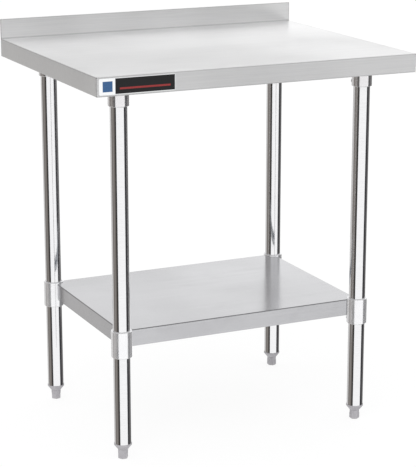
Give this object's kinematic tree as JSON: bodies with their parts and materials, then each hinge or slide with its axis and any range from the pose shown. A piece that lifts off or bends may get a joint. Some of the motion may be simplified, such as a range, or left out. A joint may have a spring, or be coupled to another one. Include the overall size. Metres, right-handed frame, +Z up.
{
  "type": "work table",
  "caption": "Stainless steel kitchen work table with a rear splash, round tube legs, a height-adjustable undershelf and screw-in levelling feet.",
  "frame": {"origin": "on the floor under the centre of the worktop's rectangle", "axes": "+Z up, +X to the right along the front apron, +Y from the front apron to the splash"},
  "size_m": [0.762, 0.6102, 0.922],
  "materials": {
    "worktop_steel": "No. 4 brushed stainless sheet, grain along the table",
    "shelf_steel": "brushed stainless sheet",
    "leg_steel": "polished stainless tube",
    "socket_metal": "satin die casting, lightly polished",
    "clamp_metal": "satin die casting",
    "galvanised": "galvanised sheet",
    "zinc_plate": "bright zinc plate",
    "brass": "turned brass",
    "foot_plastic": "moulded grey nylon",
    "sticker": "blank white vinyl with a plain dark panel"
  },
  "bodies": {
    "table_frame": {"worktop": "worktop_steel", "left_channel": "galvanised", "right_channel": "galvanised", "centre_channel": "galvanised", "top_weld_studs": "zinc_plate", "top_flange_nuts": "zinc_plate", "sticker": "sticker", "socket_bolts": "zinc_plate", "socket_rivet_nuts": "zinc_plate", "socket_set_screws": "zinc_plate", "front_left_socket": "socket_metal", "front_left_leg": "leg_steel", "front_left_foot_insert": "foot_plastic", "front_left_foot_bush": "brass", "front_right_socket": "socket_metal", "front_right_leg": "leg_steel", "front_right_foot_insert": "foot_plastic", "front_right_foot_bush": "brass", "back_left_socket": "socket_metal", "back_left_leg": "leg_steel", "back_left_foot_insert": "foot_plastic", "back_left_foot_bush": "brass", "back_right_socket": "socket_metal", "back_right_leg": "leg_steel", "back_right_foot_insert": "foot_plastic", "back_right_foot_bush": "brass"},
    "shelf": {"undershelf": "shelf_steel", "shelf_channel": "galvanised", "shelf_weld_studs": "zinc_plate", "shelf_flange_nuts": "zinc_plate", "shelf_screws": "zinc_plate", "shelf_set_screws": "zinc_plate", "front_left_shelf_clamp": "clamp_metal", "front_right_shelf_clamp": "clamp_metal", "back_left_shelf_clamp": "clamp_metal", "back_right_shelf_clamp": "clamp_metal"},
    "front_left_screw": {"front_left_foot_stud": "zinc_plate"},
    "front_left_pad": {"front_left_foot": "foot_plastic"},
    "front_right_screw": {"front_right_foot_stud": "zinc_plate"},
    "front_right_pad": {"front_right_foot": "foot_plastic"},
    "back_left_screw": {"back_left_foot_stud": "zinc_plate"},
    "back_left_pad": {"back_left_foot": "foot_plastic"},
    "back_right_screw": {"back_right_foot_stud": "zinc_plate"},
    "back_right_pad": {"back_right_foot": "foot_plastic"}
  },
  "joints": [
    {"name": "shelf_height", "type": "slide", "parent": "table_frame", "child": "shelf", "axis": [0, 0, 1], "range_m": [-0.14, 0.4]},
    {"name": "front_left_foot_extend", "type": "slide", "parent": "table_frame", "child": "front_left_screw", "axis": [0, 0, -1], "range_m": [0, 0.0254]},
    {"name": "front_left_foot_turn", "type": "hinge", "parent": "front_left_screw", "child": "front_left_pad", "pos_m": [-0.296, -0.215, 0.011], "axis": [0, 0, -1], "range_deg": [0, 5760]},
    {"name": "front_right_foot_extend", "type": "slide", "parent": "table_frame", "child": "front_right_screw", "axis": [0, 0, -1], "range_m": [0, 0.0254]},
    {"name": "front_right_foot_turn", "type": "hinge", "parent": "front_right_screw", "child": "front_right_pad", "pos_m": [0.296, -0.215, 0.011], "axis": [0, 0, -1], "range_deg": [0, 5760]},
    {"name": "back_left_foot_extend", "type": "slide", "parent": "table_frame", "child": "back_left_screw", "axis": [0, 0, -1], "range_m": [0, 0.0254]},
    {"name": "back_left_foot_turn", "type": "hinge", "parent": "back_left_screw", "child": "back_left_pad", "pos_m": [-0.296, 0.215, 0.011], "axis": [0, 0, -1], "range_deg": [0, 5760]},
    {"name": "back_right_foot_extend", "type": "slide", "parent": "table_frame", "child": "back_right_screw", "axis": [0, 0, -1], "range_m": [0, 0.0254]},
    {"name": "back_right_foot_turn", "type": "hinge", "parent": "back_right_screw", "child": "back_right_pad", "pos_m": [0.296, 0.215, 0.011], "axis": [0, 0, -1], "range_deg": [0, 5760]}
  ],
  "couplings": [
    {"joint": "front_left_foot_turn", "follows": "front_left_foot_extend", "rad_per_m": 3957.9},
    {"joint": "front_right_foot_turn", "follows": "front_right_foot_extend", "rad_per_m": 3957.9},
    {"joint": "back_left_foot_turn", "follows": "back_left_foot_extend", "rad_per_m": 3957.9},
    {"joint": "back_right_foot_turn", "follows": "back_right_foot_extend", "rad_per_m": 3957.9}
  ]
}
